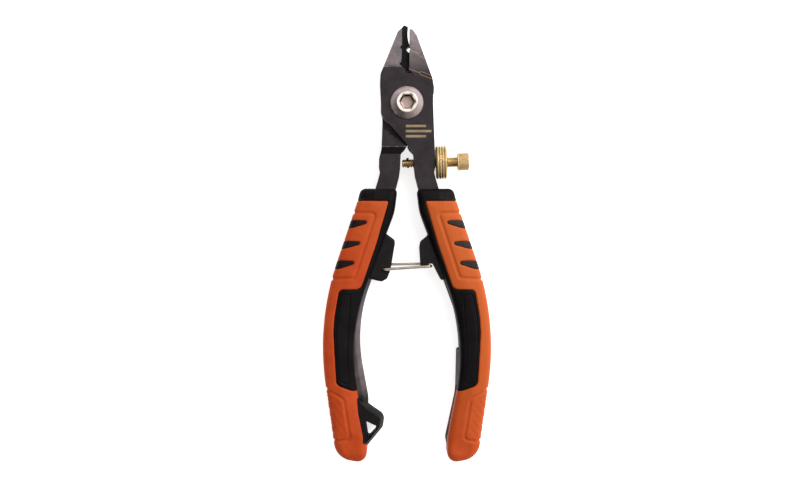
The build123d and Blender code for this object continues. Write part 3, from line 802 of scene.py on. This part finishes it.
def screw_radius(s, r, angles):
    radii = np.full(len(angles), float(r))
    if r == THREAD_RADIUS:
        radii -= THREAD_DEPTH * (1 - tri(s / THREAD_PITCH - angles / (2 * math.pi)))
    if THUMB_START < s < THUMB_END:
        fade = min(1.0, (s - THUMB_START) / THUMB_KNURL_FADE, (THUMB_END - s) / THUMB_KNURL_FADE)
        radii -= THUMB_KNURL_DEPTH * fade * knurl(angles, THUMB_KNURLS, s / THUMB_KNURL_PITCH)
    return radii


screw_profile = (
    [(0.0, 0.0), (0.0, 1.2)]
    + dense([(THREAD_START, THREAD_RADIUS), (THREAD_END, THREAD_RADIUS)])
    + [(16.6, 1.5), (16.75, 1.5), (16.8, 1.8), (17.0, 1.86)]
    + [(20.45, 1.86), (20.6, 2.0), (20.6, 3.0)]
    + dense([(THUMB_START, THUMB_RADIUS), (24.6, THUMB_RADIUS), (THUMB_END, 3.15)])
    + [(25.0, 2.85), (25.0, 0.0)]
)
screw = turned("stop_screw_detailed", SCREW_FRAME, screw_profile, 180, screw_radius)
dress(screw, brass)
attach(screw, "stop_screw")
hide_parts("stop_screw")

NUT_START = 12.6
NUT_END = 16.7
NUT_CHAMFER = 0.15
NUT_RADIUS = 6.2
NUT_RIDGES = 4
NUT_VALLEY_DEPTH = 0.32
NUT_KNURLS = 64
NUT_KNURL_PITCH = 1.1
NUT_KNURL_DEPTH = 0.10


def nut_radius(s, r, angles):
    radii = np.full(len(angles), float(r))
    if r == NUT_RADIUS:
        t = (s - NUT_START - NUT_CHAMFER) / (NUT_END - NUT_START - 2 * NUT_CHAMFER)
        valley = 1 - np.clip(1.25 * math.sin(math.pi * ((t * NUT_RIDGES) % 1)), 0, 1)
        radii -= NUT_VALLEY_DEPTH * valley
        radii -= NUT_KNURL_DEPTH * (1 - valley) * knurl(angles, NUT_KNURLS, s / NUT_KNURL_PITCH)
    return radii


nut_profile = (
    [(NUT_START, 1.75), (NUT_START, 5.55)]
    + dense([(NUT_START + NUT_CHAMFER, NUT_RADIUS), (NUT_END - NUT_CHAMFER, NUT_RADIUS)])
    + [(NUT_END, 5.55), (NUT_END, 2.7), (16.35, 2.45), (16.35, 1.95), (14.8, 1.95), (14.8, 1.75)]
    + [(NUT_START, 1.75)]
)
nut = turned("lock_nut_detailed", SCREW_FRAME, nut_profile, 384, nut_radius)
dress(nut, brass)
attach(nut, "lock_nut")
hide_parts("lock_nut")


# Etched marks: thin inlaid strips on the jaw and plain bars on the plate
PROUD = 0.012
SUNK = 0.03
FINE = 0.16
BAR_WIDTH = 0.9


def jaw_front(y):
    """Height of the right jaw's face, which tapers towards the tip."""
    return 10.65 - (y - 7.0) * 0.9 / 23.0


def plate_front(y):
    return PLATE_Z


def strip(points, width, surface):
    """Vertices and faces of thin blocks along a path, just proud of a surface."""
    vertices, faces = [], []
    for (ax, ay), (bx, by) in zip(points[:-1], points[1:]):
        length = math.hypot(bx - ax, by - ay)
        ex, ey = (bx - ax) / length * width / 2, (by - ay) / length * width / 2
        plan = (
            (ax - ex - ey, ay - ey + ex),
            (ax - ex + ey, ay - ey - ex),
            (bx + ex + ey, by + ey - ex),
            (bx + ex - ey, by + ey + ex),
        )
        base = len(vertices)
        vertices += [(x, y, surface(y) + PROUD) for x, y in plan]
        vertices += [(x, y, surface(y) - SUNK) for x, y in plan]
        faces += [
            (base, base + 1, base + 2, base + 3),
            (base + 7, base + 6, base + 5, base + 4),
            (base, base + 4, base + 5, base + 1),
            (base + 1, base + 5, base + 6, base + 2),
            (base + 2, base + 6, base + 7, base + 3),
            (base + 3, base + 7, base + 4, base),
        ]
    return vertices, faces


def etched(name, strips, body):
    """One piece made of strips, riding on a body."""
    vertices, faces = [], []
    for more, quads in strips:
        base = len(vertices)
        vertices += more
        faces += [tuple(base + i for i in quad) for quad in quads]
    mesh = bpy.data.meshes.new(name)
    mesh.from_pydata([(x * MM, y * MM, z * MM) for x, y, z in vertices], [], faces)
    obj = placed(name, mesh)
    dress(obj, etched_gold)
    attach(obj, body)


etched(
    "jaw_marks",
    [
        strip([(1.6, 19.35), (4.2, 18.45)], 0.42, jaw_front),
        strip([(6.5, 16.55), (4.3, 17.6), (4.35, 18.4), (4.9, 18.95), (5.5, 18.8)], FINE, jaw_front),
        strip([(1.15, 12.45), (4.7, 11.15)], 0.2, jaw_front),
        strip([(9.0, 8.95), (4.85, 10.55), (4.75, 11.1), (5.25, 11.6), (8.6, 10.4)], FINE, jaw_front),
    ],
    "rear_half",
)
etched(
    "plate_marks",
    [
        strip([(0.0, y), (length, y)], BAR_WIDTH, plate_front)
        for y, length in ((-8.7, 6.6), (-10.6, 8.6), (-12.5, 6.6))
    ],
    "front_half",
)


# Pale floor, a hair below the tool
FLOOR_Z = -0.0002
FLOOR_REACH = 3
FLOOR_GLOW = 0.72
floor_mesh = bpy.data.meshes.new("floor")
floor_corners = [(x * FLOOR_REACH, y * FLOOR_REACH, FLOOR_Z) for x, y in ((-1, -1), (1, -1), (1, 1), (-1, 1))]
floor_mesh.from_pydata(floor_corners, [], [(0, 1, 2, 3)])
floor = placed("floor", floor_mesh)
floor_look = Nodes("floor_white")
floor_look.set(Roughness=0.9, Emission_Color=(1, 1, 1, 1), Emission_Strength=FLOOR_GLOW)
floor_look.link(
    floor_look.mix(floor_look.noise(30.0), (0.93, 0.93, 0.93), (0.96, 0.96, 0.96)),
    floor_look.shader.inputs["Base Color"],
)
dress(floor, floor_look.material)
